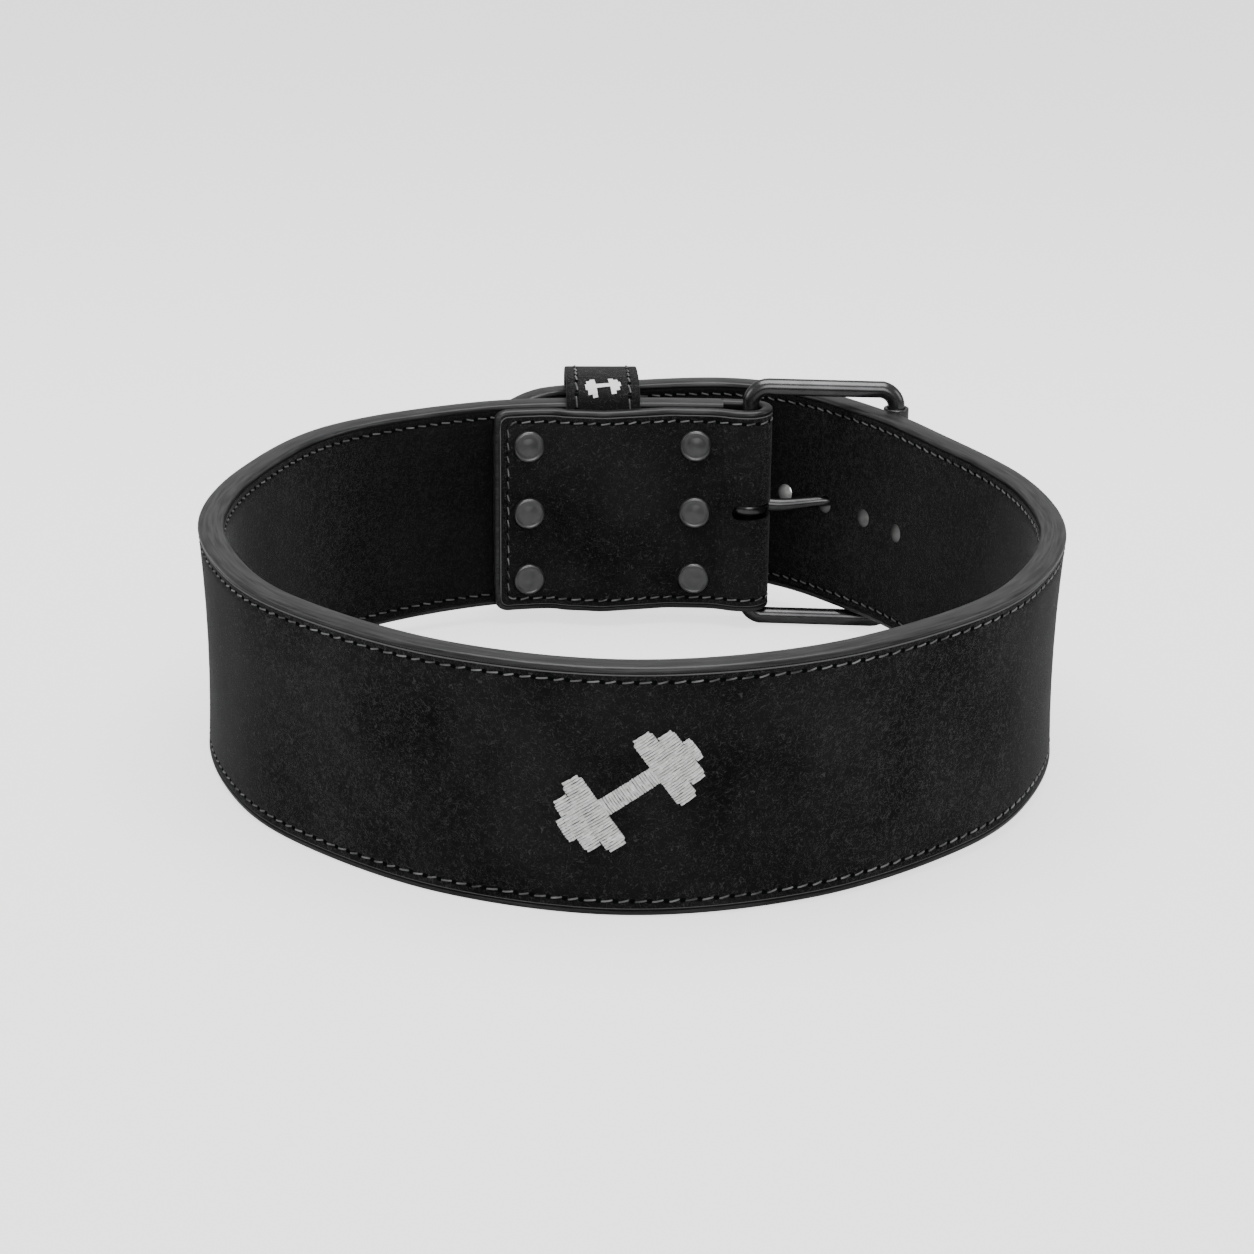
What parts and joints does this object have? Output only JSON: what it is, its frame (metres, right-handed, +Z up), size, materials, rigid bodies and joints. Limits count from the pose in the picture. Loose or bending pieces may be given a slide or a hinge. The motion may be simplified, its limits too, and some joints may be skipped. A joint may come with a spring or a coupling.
{
  "type": "weightlifting belt",
  "caption": "Wide stiff leather weightlifting belt in a closed ring, with suede faces, a roller buckle, riveted flap, leather keeper and punched tongue.",
  "frame": {"origin": "centre of the part's box at its lowest point, on the surface it stands on", "axes": "+Z up, -Y out of the plain back panel with the embroidery, +Y toward the buckle, +X toward the buckle's roller side"},
  "size_m": [0.37, 0.4132, 0.1253],
  "materials": {
    "leather": "smooth painted leather edge, satin dark grey",
    "suede": "brushed charcoal suede with short fibres",
    "steel": "satin black coated steel",
    "rivet": "dark grey coated caps",
    "thread": "white satin-stitch thread"
  },
  "bodies": {
    "root": {"band_core": "leather", "outer_suede": "suede", "inner_suede": "suede", "buckle_frame": "steel", "buckle_roller": "steel", "buckle_prong": "steel", "keeper_loop": "suede", "embroidered_dumbbell": "thread", "rivet_1": "rivet", "rivet_2": "rivet", "rivet_3": "rivet", "rivet_4": "rivet", "rivet_5": "rivet", "rivet_6": "rivet"}
  },
  "joints": []
}
